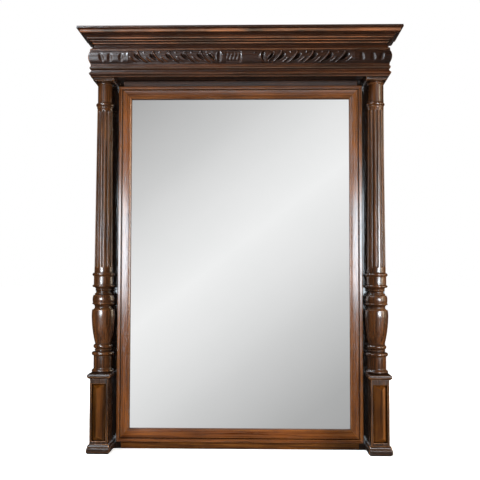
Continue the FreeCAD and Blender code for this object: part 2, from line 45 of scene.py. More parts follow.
CENTRE = (0.0, 0.0, 0.0)

# Camera: place in metres, aim in radians, focal length and sensor in millimetres
CAMERA_AT = (0.0628, -2.5463, 0.5454)
CAMERA_YAW = -0.024
CAMERA_PITCH = 0.046
CAMERA_ROLL = 0.002
CAMERA_LENS = 60.74
SENSOR_WIDTH = 36.0

# Places of the colour sockets on a mix node
MIX_SHARE = 0
MIX_FIRST = 6
MIX_SECOND = 7
MIX_RESULT = 2


def stretch(axis, along, across):
    return tuple(along if name == axis else across for name in "xyz")


# Short forms for building a node tree
class Net:
    def __init__(self, tree):
        self.tree = tree

    def add(self, kind, **values):
        node = self.tree.nodes.new(kind)
        for key, value in values.items():
            setattr(node, key, value)
        return node

    def link(self, out, into):
        self.tree.links.new(out, into)

    def put(self, socket, value):
        if hasattr(value, "is_linked"):
            self.link(value, socket)
        else:
            socket.default_value = value

    def place(self):
        return self.add("ShaderNodeTexCoord").outputs["Object"]

    def split(self, vector):
        node = self.add("ShaderNodeSeparateXYZ")
        self.link(vector, node.inputs[0])
        return node.outputs

    def math(self, kind, a, b=0.0, clamp=False):
        node = self.add("ShaderNodeMath", operation=kind, use_clamp=clamp)
        self.put(node.inputs[0], a)
        self.put(node.inputs[1], b)
        return node.outputs[0]

    def mix(self, share, first, second, blend="MIX"):
        node = self.add("ShaderNodeMix", data_type="RGBA", blend_type=blend)
        self.put(node.inputs[MIX_SHARE], share)
        self.put(node.inputs[MIX_FIRST], first)
        self.put(node.inputs[MIX_SECOND], second)
        return node.outputs[MIX_RESULT]

    def ramp(self, value, stops):
        node = self.add("ShaderNodeValToRGB")
        spots = node.color_ramp.elements
        while len(spots) < len(stops):
            spots.new(0.5)
        for spot, (at, colour) in zip(spots, stops):
            spot.position = at
            spot.color = (*colour, 1.0)
        self.put(node.inputs[0], value)
        return node.outputs[0]

    def range(self, value, low, high, out_low=0.0, out_high=1.0):
        node = self.add("ShaderNodeMapRange")
        self.put(node.inputs[0], value)
        for index, number in enumerate((low, high, out_low, out_high), start=1):
            node.inputs[index].default_value = number
        return node.outputs[0]

    def noise(self, vector, scale=1.0, detail=4.0, rough=0.55, warp=0.0):
        node = self.add("ShaderNodeTexNoise")
        self.link(vector, node.inputs["Vector"])
        node.inputs["Scale"].default_value = scale
        node.inputs["Detail"].default_value = detail
        node.inputs["Roughness"].default_value = rough
        node.inputs["Distortion"].default_value = warp
        return node.outputs[0]

    # Noise that is drawn out along one axis, as grain is
    def grain(self, where, axis, offset, along, across, **look):
        node = self.add("ShaderNodeMapping")
        self.link(where, node.inputs["Vector"])
        node.inputs["Location"].default_value = offset
        node.inputs["Scale"].default_value = stretch(axis, along, across)
        return self.noise(node.outputs[0], **look)

    def bump(self, shader, height, strength, distance, normal=None):
        node = self.add("ShaderNodeBump")
        node.inputs["Strength"].default_value = strength
        node.inputs["Distance"].default_value = distance
        self.link(height, node.inputs["Height"])
        if normal is not None:
            self.link(normal, node.inputs["Normal"])
        self.link(node.outputs[0], shader.inputs["Normal"])


def grey(value):
    return (value, value, value)


def opaque(colour):
    return (*colour, 1.0)


def new_material(name):
    material = bpy.data.materials.new(name)
    material.use_nodes = True
    net = Net(material.node_tree)
    shader = material.node_tree.nodes["Principled BSDF"]
    return material, net, shader


# Tones of stained oak, from the pores to the rubbed edges; in the header the rubbed tone also serves as a
# painted highlight
DARK_OAK = {"deep": (0.006, 0.003, 0.002), "brown": (0.018, 0.008, 0.004), "red": (0.046, 0.017, 0.006),
            "worn_and_lit": (0.440, 0.160, 0.036)}
HEADER_OAK = {"deep": (0.005, 0.002, 0.001), "brown": (0.016, 0.005, 0.002), "red": (0.042, 0.012, 0.003),
              "worn_and_lit": (0.300, 0.088, 0.016)}
WARM_OAK = {"deep": (0.016, 0.005, 0.002), "brown": (0.086, 0.024, 0.005), "red": (0.188, 0.056, 0.009),
            "worn_and_lit": (0.360, 0.130, 0.028)}
# Painted light: lighter tones for the bottom rail, which the front strip does not light
RAIL_PAINTED_LIGHT_OAK = {"deep": (0.024, 0.008, 0.002), "brown": (0.150, 0.046, 0.005), "red": (0.330, 0.108, 0.011),
            "worn_and_lit": (0.500, 0.210, 0.036)}
# Painted shade: dark tones for the top rail and soffit board, which sit in the shade under the header
PAINTED_SHADE_OAK = {"deep": (0.006, 0.003, 0.002), "brown": (0.020, 0.007, 0.003), "red": (0.050, 0.016, 0.005),
             "worn_and_lit": (0.260, 0.090, 0.022)}
# Painted shade: near-black tones for the stiles, in the shade beside the columns
STILE_PAINTED_SHADE_OAK = {"deep": (0.002, 0.001, 0.001), "brown": (0.006, 0.003, 0.002), "red": (0.012, 0.005, 0.002),
             "worn_and_lit": (0.080, 0.030, 0.008)}
TURNED_OAK = {"deep": (0.004, 0.002, 0.001), "brown": (0.022, 0.007, 0.002), "red": (0.070, 0.022, 0.005),
              "worn_and_lit": (0.400, 0.145, 0.034)}
TONE_STOPS = {"deep": 0.34, "brown": 0.47, "red": 0.60, "worn_and_lit": 0.74}
# Colour of the painted shade in the hollows
PAINTED_SHADE_COLOUR = (0.006, 0.003, 0.002)
BACK_STAIN = [(0.34, (0.012, 0.006, 0.003)), (0.66, (0.052, 0.028, 0.014))]


def scaled_tones(tones, share):
    return {key: tuple(share * part for part in tone) for key, tone in tones.items()}


PANEL_OAK = scaled_tones(RAIL_PAINTED_LIGHT_OAK, 0.6)
# Painted light and painted shade: a lighter copy of the frame's oak for the bottom moulding and a darker one
# for the top
WARM_PAINTED_LIGHT = scaled_tones(WARM_OAK, 1.6)
WARM_PAINTED_SHADE = scaled_tones(WARM_OAK, 0.7)

# Noises of the oak, each with its scale along and across the grain
STREAKS = {"along": 3.0, "across": 150.0, "scale": 1.6, "detail": 5.0, "rough": 0.62, "warp": 0.35}
FIGURE = {"along": 1.2, "across": 36.0, "scale": 1.3, "detail": 3.0, "rough": 0.5, "warp": 0.8}
PORES = {"along": 26.0, "across": 900.0, "detail": 2.0, "rough": 0.6}
CLOUDS = {"along": 4.0, "across": 4.0, "scale": 1.5, "detail": 3.0, "rough": 0.5}
PATCHES = {"along": 9.0, "across": 30.0}

# Measures of the oak's grain, wear, painted light and shade, and polish
SHIFT_SHARES = (1.0, 0.7, 1.3)
GRAIN_MIDDLE = 0.53
STREAK_SHARE = 0.62
STREAK_RANGE = (0.3, 0.7)
MELLOW_FROM = (0.35, 0.68)
MELLOW_TO = (0.72, 1.25)
PATCH_EDGE = (0.36, 0.62)
PORE_EDGE = (0.36, 0.46)
PORE_DARK = 0.6
PORE_ROUGH = 0.14
EDGE_ROUND = 2.6 * MM
EDGE_TURN = (0.995, 0.90)
# Painted highlight: how far a face's tilt may stray from the band and still take the rubbed tone
PAINTED_LIGHT_TILT = (0.38, 0.06)
HOLLOW_REACH = 14 * MM
OPEN_AIR = (0.42, 0.86)
RUBBED_AND_LIT_SHARE = 0.85
# Painted shade in the hollows: its share of the dark colour, and the roughness the hollows gain
PAINTED_SHADE_SHARE = 0.94
HOLLOW_ROUGH = 0.3
BACK_TURN = (0.6, 0.9)
BACK_ROUGH = 0.5
BACK_SHINE = 0.25
SIDE_TURN = (0.5, 0.2)
HOLLOW_SHUT = 0.6
HOLLOW_SHINE = 0.1
COAT_ROUGH = 0.12
PORE_RELIEF = 0.5
STREAK_RELIEF = 0.6
RELIEF_STRENGTH = 0.3
RELIEF_DEPTH = 0.5 * MM


# The wood itself: streaks over a broader figure, mellow patches and dark pores
def oak_colour(net, tones, grain, streaks, figure, clouds, solid):
    shade = net.math("ADD", net.math("MULTIPLY", streaks, STREAK_SHARE),
                     net.math("MULTIPLY", figure, 1.0 - STREAK_SHARE))
    palest = GRAIN_MIDDLE + (1.0 - GRAIN_MIDDLE) * grain
    shade = net.range(shade, 0.0, 1.0, GRAIN_MIDDLE - GRAIN_MIDDLE * grain, palest)
    base = net.ramp(shade, [(at, tones[key]) for key, at in TONE_STOPS.items()])
    base = net.mix(1.0, base, net.range(clouds, *MELLOW_FROM, *MELLOW_TO), "MULTIPLY")
    return net.mix(net.range(solid, 0.0, 1.0, PORE_DARK, 0.0), base, opaque(tones["deep"]))


# Edges rubbed bare, where the rounded normal leaves the true one, or else, as a painted highlight, faces that
# tilt as the band says
def worn_edges_and_painted_light(net, normal, rounded, facing, band):
    if band is not None:
        tilt = net.math("ABSOLUTE", net.math("SUBTRACT", facing["Z"], band))
        return net.range(tilt, *PAINTED_LIGHT_TILT)
    dot = net.add("ShaderNodeVectorMath", operation="DOT_PRODUCT")
    net.link(rounded, dot.inputs[0])
    net.link(normal, dot.inputs[1])
    return net.range(dot.outputs["Value"], *EDGE_TURN)


# Stained oak with its grain along one axis: painted shade in the hollows, rubbed on the edges, and where a
# band is given a painted highlight on faces of that tilt instead, unpolished behind
def oak(name, axis, tones=DARK_OAK, shift=0.0, wear_and_light=1.0, rough=(0.15, 0.26), coat=0.0, grain=1.0,
        shine=0.45, dull_sides=0.0, band=None, painted_shade_reach=(0.76, 0.20)):
    material, net, shader = new_material(name)
    where = net.place()
    offset = tuple(shift * share for share in SHIFT_SHARES)
    streaks = net.grain(where, axis, offset, **STREAKS)
    figure = net.grain(where, axis, offset, **FIGURE)
    clouds = net.grain(where, axis, offset, **CLOUDS)
    patches = net.grain(where, axis, offset, **PATCHES)
    solid = net.range(net.grain(where, axis, offset, **PORES), *PORE_EDGE)
    base = oak_colour(net, tones, grain, streaks, figure, clouds, solid)

    # where the surface faces, how its edges round off and how open each place is
    normal = net.add("ShaderNodeNewGeometry").outputs["Normal"]
    facing = net.split(normal)
    bevel = net.add("ShaderNodeBevel", samples=6)
    bevel.inputs["Radius"].default_value = EDGE_ROUND
    rounded = bevel.outputs[0]
    near = net.add("ShaderNodeAmbientOcclusion", samples=6)
    near.inputs["Distance"].default_value = HOLLOW_REACH
    openness = near.outputs["AO"]

    # edges rubbed bare, and where a band is given a painted highlight on faces of that tilt instead; painted
    # shade in the hollows; plain stain on the side towards the wall
    edge = worn_edges_and_painted_light(net, normal, rounded, facing, band)
    rubbed_and_lit = net.math("MULTIPLY", edge, net.range(openness, *OPEN_AIR))
    rubbed_and_lit = net.math("MULTIPLY", rubbed_and_lit, net.range(patches, *PATCH_EDGE))
    rubbed_and_lit = net.math("MULTIPLY", rubbed_and_lit, RUBBED_AND_LIT_SHARE * wear_and_light, clamp=True)
    base = net.mix(rubbed_and_lit, base, opaque(tones["worn_and_lit"]))
    # painted shade: the colour goes towards near black where the occlusion finds the place shut in
    painted_shade = net.range(openness, *painted_shade_reach, 0.0, PAINTED_SHADE_SHARE)
    base = net.mix(painted_shade, base, opaque(PAINTED_SHADE_COLOUR))
    back = net.range(facing["Y"], *BACK_TURN)
    base = net.mix(back, base, net.ramp(streaks, BACK_STAIN))
    net.link(base, shader.inputs["Base Color"])

    # less polish in the pores and hollows, on the back and, where asked for, on the sides
    gloss = net.range(streaks, *STREAK_RANGE, *rough)
    gloss = net.math("ADD", gloss, net.range(solid, 0.0, 1.0, PORE_ROUGH, 0.0))
    gloss = net.math("ADD", gloss, net.math("MULTIPLY", painted_shade, HOLLOW_ROUGH))
    gloss = net.math("ADD", gloss, net.math("MULTIPLY", back, BACK_ROUGH))
    if dull_sides:
        front = net.math("ABSOLUTE", facing["Y"])
        gloss = net.math("ADD", gloss, net.range(front, *SIDE_TURN, 0.0, dull_sides))
    net.link(gloss, shader.inputs["Roughness"])
    shader.inputs["Coat Weight"].default_value = coat
    shader.inputs["Coat Roughness"].default_value = COAT_ROUGH
    polish = net.range(painted_shade, 0.0, HOLLOW_SHUT, shine, HOLLOW_SHINE * shine)
    polish = net.math("MULTIPLY", polish, net.range(back, 0.0, 1.0, 1.0, BACK_SHINE))
    net.link(polish, shader.inputs["Specular IOR Level"])

    # pores and streaks that can be felt, over rounded edges
    surface = net.math("ADD", net.math("MULTIPLY", solid, PORE_RELIEF),
                       net.math("MULTIPLY", streaks, STREAK_RELIEF))
    net.bump(shader, surface, RELIEF_STRENGTH * grain, RELIEF_DEPTH, rounded)
    return material


# Unpolished boards behind: pale brown, dry, with stains and saw streaks
RAW_TONES = [(0.30, (0.075, 0.042, 0.022)), (0.5, (0.160, 0.095, 0.050)), (0.72, (0.255, 0.165, 0.095))]
RAW_STAIN = (0.055, 0.034, 0.021)
RAW_STAIN_EDGE = (0.5, 0.75)
RAW_STAIN_SHARE = 0.6
RAW_PORE = (0.045, 0.026, 0.015)
RAW_PORE_EDGE = (0.42, 0.5)
RAW_PORE_SHARE = 0.45
RAW_PORE_RELIEF = 0.5
RAW_STREAKS = {"along": 1.6, "across": 42.0, "scale": 1.8, "detail": 5.0, "rough": 0.6, "warp": 0.5}
RAW_PORES = {"along": 14.0, "across": 700.0, "detail": 2.0}
RAW_STAINS = {"along": 5.0, "across": 5.0}
RAW_ROUGH = (0.68, 0.86)


def raw_wood(name, axis):
    material, net, shader = new_material(name)
    where = net.place()
    streaks = net.grain(where, axis, CENTRE, **RAW_STREAKS)
    pores = net.grain(where, axis, CENTRE, **RAW_PORES)
    stains = net.grain(where, axis, CENTRE, **RAW_STAINS)
    base = net.ramp(streaks, RAW_TONES)
    base = net.mix(net.range(stains, *RAW_STAIN_EDGE, 0.0, RAW_STAIN_SHARE), base, opaque(RAW_STAIN))
    base = net.mix(net.range(pores, *RAW_PORE_EDGE, RAW_PORE_SHARE, 0.0), base, opaque(RAW_PORE))
    net.link(base, shader.inputs["Base Color"])
    net.link(net.range(streaks, *STREAK_RANGE, *RAW_ROUGH), shader.inputs["Roughness"])
    surface = net.math("ADD", streaks, net.math("MULTIPLY", pores, RAW_PORE_RELIEF))
    net.bump(shader, surface, strength=0.4, distance=0.4 * MM)
    return material


# Silvered plate glass, with a faint haze
GLASS_TONES = [(0.3, (0.925, 0.935, 0.935)), (0.7, (0.945, 0.950, 0.952))]
GLASS_HAZE = {"along": 3.0, "across": 3.0, "scale": 1.4, "detail": 5.0, "rough": 0.6}


def silvered(name):
    material, net, shader = new_material(name)
    haze = net.grain(net.place(), "z", CENTRE, **GLASS_HAZE)
    net.link(net.ramp(haze, GLASS_TONES), shader.inputs["Base Color"])
    shader.inputs["Roughness"].default_value = 0.0
    shader.inputs["Metallic"].default_value = 1.0
    return material


# Steel, brushed upwards, with spots of rust
STEEL_TONES = [(0.38, (0.32, 0.31, 0.30)), (0.58, (0.22, 0.20, 0.185)), (0.70, (0.11, 0.055, 0.028))]
STEEL_SPOTS = {"along": 160.0, "across": 160.0, "detail": 5.0, "rough": 0.65}
STEEL_BRUSHED = {"along": 60.0, "across": 2000.0, "detail": 2.0}
STEEL_ROUGH = (0.34, 0.55)
RUST_EDGE = (0.55, 0.68)
RUST_METAL = 0.15


def steel(name):
    material, net, shader = new_material(name)
    where = net.place()
    spots = net.grain(where, "z", CENTRE, **STEEL_SPOTS)
    brushed = net.grain(where, "z", CENTRE, **STEEL_BRUSHED)
    net.link(net.ramp(spots, STEEL_TONES), shader.inputs["Base Color"])
    net.link(net.range(spots, *RUST_EDGE, 1.0, RUST_METAL), shader.inputs["Metallic"])
    net.link(net.range(brushed, *STREAK_RANGE, *STEEL_ROUGH), shader.inputs["Roughness"])
    net.bump(shader, spots, strength=0.25, distance=0.2 * MM)
    return material


# Mesh helpers
ARC_STEPS = 10


# A piece of its own, smooth except where its faces turn by more than the crease, in degrees
def piece(name, verts, faces, material, crease, stands_for=()):
    mesh = bpy.data.meshes.new(name)
    mesh.from_pydata(verts, [], faces)
    mesh.validate()
    mesh.shade_smooth()
    mesh.set_sharp_from_angle(angle=math.radians(crease))
    mesh.materials.append(material)
    obj = bpy.data.objects.new(name, mesh)
    bpy.context.collection.objects.link(obj)
    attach(obj, "root")
    if stands_for:
        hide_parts(*stands_for)
    return obj


# Faces between rows of points that each close on themselves
def grid_faces(rows, columns):
    faces = []
    for i in range(rows - 1):
        for j in range(columns):
            k = (j + 1) % columns
            faces.append((i * columns + j, i * columns + k, (i + 1) * columns + k, (i + 1) * columns + j))
    return faces


# A moulding that is swept from its first outline to its last, with both ends closed
def swept_faces(outlines, count):
    last = (outlines - 1) * count
    faces = [tuple(reversed(face)) for face in grid_faces(outlines, count)]
    faces.append(tuple(range(count)))
    faces.append(tuple(reversed(range(last, last + count))))
    return faces


# Points along one side of a profile, which is an arc where it has a bulge
def arc_points(a, b, bulge, count):
    if bulge == 0:
        return [b]
    ax, ay = a
    bx, by = b
    chord = math.hypot(bx - ax, by - ay)
    ux = (bx - ax) / chord
    uy = (by - ay) / chord
    radius = (chord * chord / 4 + bulge * bulge) / (2 * abs(bulge))
    half = math.asin(min(1.0, chord / 2 / radius))
    if abs(bulge) > chord / 2:
        half = math.pi - half
    side = 1 if bulge > 0 else -1
    centre = abs(bulge) - radius
    points = []
    for i in range(1, count + 1):
        angle = half * (2 * i / count - 1)
        along = chord / 2 + radius * math.sin(angle)
        off = side * (centre + radius * math.cos(angle))
        points.append((ax + ux * along + uy * off, ay + uy * along - ux * off))
    return points


# Turned column: sizes in millimetres
RING_R = 34.5
RING_H = 11.0
DRUM_R = 28.5
DRUM_H = 26.5
BASE_DRUM_H = 37.0
WAIST_R = 21.8
WAIST_H = 6.0
VASE_R = 35.5
VASE_FOOT_R = 24.0
VASE_H = 108.0
BULB_R = 33.5
BULB_H = 23.5
SHAFT_FOOT_R = 28.8
SHAFT_HEAD_R = 24.2
SHAFT_H = 522.5
NECK_R = 22.4
NECK_H = 57.0
FLUTES = 12
FLUTE_R = 3.4
FLUTE_DEPTH = 0.95
FLUTE_FOOT = 17.0
FLUTE_HEAD = 8.0

# Steps of (rise, radius, bulge) from the plinth cap to the foot of the shaft
LOWER = [
    # foot ring and base drum
    (RING_H, RING_R - 3.5, 3.5), (6, DRUM_R, -1.2), (BASE_DRUM_H, DRUM_R), (0, RING_R - 5),
    # ring and beads below the vase
    (RING_H + 1, RING_R - 5, 5), (0, WAIST_R + 2.2), (3, WAIST_R + 2.2), (4, WAIST_R + 2.2, 1.8),
    (3, WAIST_R + 2.2), (0, WAIST_R + 3.6), (RING_H + 2, WAIST_R + 3.6, 4.2), (0, VASE_FOOT_R),
    # vase and its lip
    (0.73 * VASE_H, VASE_R, 2.2), (0.27 * VASE_H, VASE_R - 0.9, 0.9), (2, VASE_R - 6.5), (2, VASE_R - 6.5),
    # flared ring and bulb
    (1, VASE_R - 8.5), (12, RING_R - 1.5, -3), (4.5, RING_R - 1.5, 1.5), (0.5, BULB_R - 1.2),
    (BULB_H, BULB_R - 2.5, 2), (2, WAIST_R + 4), (4, WAIST_R + 4, 1.2), (1.5, WAIST_R + 0.6),
    # waist, cove and upper drum between two rings
    (WAIST_H, WAIST_R + 0.6, -0.6), (1, WAIST_R + 2.2), (3.5, WAIST_R + 2.2, 1.1), (7, RING_R - 4.3, -2),
    (RING_H - 3, RING_R - 4.3, 3.9), (DRUM_H, DRUM_R + 1.7), (RING_H, DRUM_R + 1.7, 4.3), (0, SHAFT_FOOT_R),
]
# The same from the head of the shaft to the capital
UPPER = [
    (0, SHAFT_HEAD_R + 1.2), (4.5, SHAFT_HEAD_R + 1.2), (0.8, SHAFT_HEAD_R + 0.4),
    (RING_H, SHAFT_HEAD_R + 0.4, 3.8), (0, NECK_R), (NECK_H, NECK_R), (1, NECK_R + 1.2),
    (6, NECK_R + 1.2, 2.8), (0, NECK_R + 3.6), (2.5, NECK_R + 3.6),
]
SHAFT_Z = sum(step[0] for step in LOWER)
FLUTE_LOW = SHAFT_Z + FLUTE_FOOT
FLUTE_HIGH = SHAFT_Z + SHAFT_H - FLUTE_HEAD

# Spacing of the mesh: shares of a flute's radius at its ends and across it, and of the pitch between flutes
FLUTE_ENDS = (0, 0.06, 0.2, 0.45, 0.75, 1.0)
FLUTE_ACROSS = (-1.02, -0.96, -0.8, -0.5, 0.0, 0.5, 0.8, 0.96, 1.02)
LAND_ACROSS = (0.36, 0.5, 0.64)
SHAFT_ROWS = 24


def flute_depth(angle, z, radius):
    if not FLUTE_LOW < z < FLUTE_HIGH:
        return 0.0
    pitch = 2 * math.pi / FLUTES
    off = radius * abs((angle + pitch / 2) % pitch - pitch / 2)
    end = min(z - FLUTE_LOW, FLUTE_HIGH - z, FLUTE_R)
    reach = FLUTE_R * FLUTE_R - (FLUTE_R - end) ** 2
    return math.sqrt(max(0.0, reach - off * off)) * FLUTE_DEPTH


def turned_steps(start, steps):
    points = [start]
    for rise, radius, *bulge in steps:
        end = (radius, points[-1][1] + rise)
        points += arc_points(points[-1], end, bulge[0] if bulge else 0, ARC_STEPS)
    return points


# The tapered shaft, with more points where its flutes begin and end
def shaft_points():
    straight = FLUTE_HIGH - FLUTE_LOW - 2 * FLUTE_R
    heights = [FLUTE_LOW + FLUTE_R * share for share in FLUTE_ENDS]
    heights += [FLUTE_LOW + FLUTE_R + straight * i / SHAFT_ROWS for i in range(1, SHAFT_ROWS)]
    heights += [FLUTE_HIGH - FLUTE_R * share for share in reversed(FLUTE_ENDS)]
    taper = (SHAFT_HEAD_R - SHAFT_FOOT_R) / SHAFT_H
    return [(SHAFT_FOOT_R + taper * (z - SHAFT_Z), z) for z in heights]


def column_profile():
    lower = turned_steps((RING_R - 3.5, 0.0), LOWER)
    upper = turned_steps((SHAFT_HEAD_R, SHAFT_Z + SHAFT_H), UPPER)
    return lower + shaft_points() + upper


# Angles round a column, closer together inside each flute
def column_angles():
    middle_r = (SHAFT_FOOT_R + SHAFT_HEAD_R) / 2
    pitch = 2 * math.pi / FLUTES
    angles = []
    for i in range(FLUTES):
        angles += [i * pitch + FLUTE_R * share / middle_r for share in FLUTE_ACROSS]
        angles += [i * pitch + pitch * share for share in LAND_ACROSS]
    return angles


def column(side, material):
    node = side + "_column"
    low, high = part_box(node)
    x = (low[0] + high[0]) / 2
    y = (low[1] + high[1]) / 2
    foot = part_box(side + "_plinth_cap")[1][2]
    angles = column_angles()
    rows = column_profile()
    verts = []
    for radius, z in rows:
        for angle in angles:
            r = (radius - flute_depth(angle, z, radius)) * MM
            verts.append((x + r * math.sin(angle), y - r * math.cos(angle), foot + z * MM))
    count = len(angles)
    faces = grid_faces(len(rows), count)
    faces.append(tuple(reversed(range(count))))
    faces.append(tuple((len(rows) - 1) * count + j for j in range(count)))
    return piece(side + "_turned_column", verts, faces, material, crease=32.0, stands_for=[node])


# Carved frieze: millimetres above the plain cushion, at x along the front and t up from its middle
HEADER_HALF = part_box("header_board")[1][0] / MM
CARVED_OFFSET = 5.0
CARVED_FROM = 84.0
CARVED_TO = 350.0
CARVED_END = 452.0
RELIEF_MARGIN = (3.5, 0.6)
BEAD_SHARE = 0.9
# Two layers of stipple, each as (height, fineness, place in the noise)
STIPPLE = ((0.16, 0.45, 3.7), (0.08, 1.1, 9.1))
# An edge is where a form starts to fade and where it is gone, both from its middle
CARVED_EDGE = (15, 19)
CURL_EDGE = (14, 19)


# Forms of the carving: a round ridge, a round hollow, a fade from 1 to 0, a bead and a stippled ground
def ridge(off, half, high):
    return high * max(0.0, 1.0 - (off / half) ** 2)


def bowl(along, across, half_long, half_wide, deep, soft=0.8):
    return -deep * max(0.0, 1.0 - (along / half_long) ** 2 - (across / half_wide) ** 2) ** soft


def fade(value, start, end):
    share = min(1.0, max(0.0, (value - start) / (end - start)))
    return 1.0 - share * share * (3.0 - 2.0 * share)


def bead(x, t, at_x, at_t, radius):
    off = ((x - at_x) ** 2 + (t - at_t) ** 2) / (radius * radius)
    return radius * BEAD_SHARE * math.sqrt(max(0.0, 1.0 - off))


def stipple(x, t):
    return sum(high * noise.noise((x * fine, t * fine, seed)) for high, fine, seed in STIPPLE)


# Distance across the rib of a leaf, which leans outwards and stands steeper towards its tip
LEAF_LEAN = 0.85
LEAF_CURVE = 0.0215
ACROSS_RIB = 0.74


def across_rib(x, t, at):
    return (x - at - LEAF_LEAN * t + LEAF_CURVE * t * t) * ACROSS_RIB


# One leaf of the running pattern: a curved rib with a knob at its tip, a spoon, a thin vein below and a bead
RIB_HALF = 2.3
RIB_HIGH = 3.4
RIB_EDGE = (15.5, 19.5)
SPOON_AT = 7.0
SPOON_DROP = 0.5
SPOON_LONG = 17.0
SPOON_WIDE = 5.4
SPOON_DEEP = 6.2
SPOON_TAPER = 0.015
VEIN_AT = 24.0
VEIN_HALF = 2.0
VEIN_HIGH = 2.2
VEIN_DROP = 9
VEIN_EDGE = (6, 10)
LEAF_BEAD = {"x": -12.4, "t": 15.5, "radius": 2.6}
LEAF_KNOB = {"x": 8.6, "t": 14.8, "radius": 3.0}


def leaf(x, t, at):
    off = across_rib(x, t, at)
    high = ridge(off, RIB_HALF, RIB_HIGH) * fade(abs(t), *RIB_EDGE)
    wide = SPOON_WIDE * (1 - SPOON_TAPER * t)
    high += bowl((t + SPOON_DROP) / ACROSS_RIB, off - SPOON_AT, SPOON_LONG, wide, SPOON_DEEP, soft=1.0)
    high += ridge(off - VEIN_AT, VEIN_HALF, VEIN_HIGH) * fade(abs(t + VEIN_DROP), *VEIN_EDGE)
    for ball in (LEAF_BEAD, LEAF_KNOB):
        high += bead(x, t, at + ball["x"], ball["t"], ball["radius"])
    return high


# Two short ribs with a hollow between them, where the leaves begin
STARTER_AT = 88.0
STARTER_HALF = 2.2
STARTER_HIGH = 3.2
STARTER_RIBS = ({"at": 0.0, "drop": 1, "edge": (9, 14)}, {"at": 9.0, "drop": 4, "edge": (8, 12)})
STARTER_BOWL = {"half_long": 12, "half_wide": 3.0, "deep": 4.0}
STARTER_BOWL_AT = 4.5
STARTER_BOWL_DROP = 2


def starter(x, t):
    off = across_rib(x, t, STARTER_AT)
    high = 0.0
    for rib in STARTER_RIBS:
        high += ridge(off - rib["at"], STARTER_HALF, STARTER_HIGH) * fade(abs(t + rib["drop"]), *rib["edge"])
    return high + bowl(t + STARTER_BOWL_DROP, off - STARTER_BOWL_AT, **STARTER_BOWL)


# The running leaves on both halves, on a stippled ground that is cut back
LEAF_START = 118.2
LEAF_PITCH = 49.5
LEAVES = 5
GROUND_DEEP = 1.7
GROUND_MIDDLE = 217.0
GROUND_EDGE = (118, 131)


def running_leaves(x, t):
    out = abs(x)
    if not CARVED_FROM < out < CARVED_TO:
        return 0.0
    ground = -GROUND_DEEP * fade(abs(out - GROUND_MIDDLE), *GROUND_EDGE) + stipple(x, t) + starter(out, t)
    near = round((out - LEAF_START) / LEAF_PITCH)
    for index in (near - 1, near, near + 1):
        if 0 <= index < LEAVES:
            ground += leaf(out, t, LEAF_START + index * LEAF_PITCH)
    return ground


# Centre: a husk on the left, upright reeds, a plain reserve with one bead, and a bracket on the right
HUSK_FROM = -82.0
HUSK_AT = -62.0
HUSK_TALL = 19
HUSK_CURL = 8.5
HUSK_BOWL = {"half_long": 17, "half_wide": 8.0, "deep": 3.0}
HUSK_RIM = {"half": 3.4, "high": 0.8}
REEDS_FROM = -46.0
REEDS_TO = 8.0
REEDS_DEEP = 1.6
REEDS_EDGE = (22, 27)
REED_SPOTS = (-36.0, -25.0, -14.0, -3.0)
REED_WAVE = 3.0
REED_WAVE_LONG = 9
REED_SHAPE = {"half": 5.2, "high": 0.9}
REED_EDGE = (8, 18)
CENTRE_BEAD = {"at_x": 48, "at_t": 11, "radius": 3.2}
BRACKET_AT = 66.0
BRACKET_CURVE = 0.026
BRACKET_RIB = {"half": 3.4, "high": 3.2}
BRACKET_BOWL = {"half_long": 16, "half_wide": 5.0, "deep": 3.4}
BRACKET_BOWL_AT = 7


def reeds(x, t):
    middle = (REEDS_FROM + REEDS_TO) / 2
    high = -REEDS_DEEP * fade(abs(x - middle), *REEDS_EDGE) * fade(abs(t), *CARVED_EDGE)
    wave = REED_WAVE * math.sin(t / REED_WAVE_LONG)
    for spot in REED_SPOTS:
        high += ridge(x - spot - wave, **REED_SHAPE) * fade(abs(t), *REED_EDGE)
    return high


def husk(x, t):
    off = x - HUSK_AT
    curl = HUSK_CURL * math.sqrt(max(0.0, 1 - (t / HUSK_TALL) ** 2))
    return bowl(t, off, **HUSK_BOWL) + ridge(abs(off) - curl, **HUSK_RIM) * fade(abs(t), *CURL_EDGE)


def bracket(x, t):
    off = x - BRACKET_AT - BRACKET_CURVE * t * t
    high = bead(x, t, **CENTRE_BEAD) + ridge(off, **BRACKET_RIB) * fade(abs(t), *CURL_EDGE)
    return high + bowl(t, off - BRACKET_BOWL_AT, **BRACKET_BOWL)


def centre_motif(x, t):
    if x > REEDS_TO:
        return bracket(x, t)
    if REEDS_FROM < x < REEDS_TO:
        return reeds(x, t)
    if HUSK_FROM < x < REEDS_FROM:
        return husk(x, t)
    return 0.0


# Ends: a binding bar, then upright hollows between rounded lobes, of which the last one leans
BAR_FROM = 346.0
BAR_AT = 354.0
BAR_SHAPE = {"half": 4.5, "high": 0.8}
LOBE_SPOTS = (376.0, 411.0, 438.0)
LOBE_LEANS = (0.0, 0.0, 0.28)
LOBE_DROP = 1
LOBE_LONG = 15.5
LOBE_WIDE = 9.0
LOBE_TAPER = 0.12
LOBE_DEEP = 3.4
LOBE_SOFT = 1.4


def end_lobes(x, t):
    out = abs(x)
    if not BAR_FROM <= out <= CARVED_END:
        return 0.0
    high = ridge(out - BAR_AT, **BAR_SHAPE) * fade(abs(t), *CARVED_EDGE)
    wide = LOBE_WIDE - LOBE_TAPER * t
    for spot, lean in zip(LOBE_SPOTS, LOBE_LEANS):
        high += bowl(t + LOBE_DROP, out - spot - lean * t, LOBE_LONG, wide, LOBE_DEEP, LOBE_SOFT)
    return high


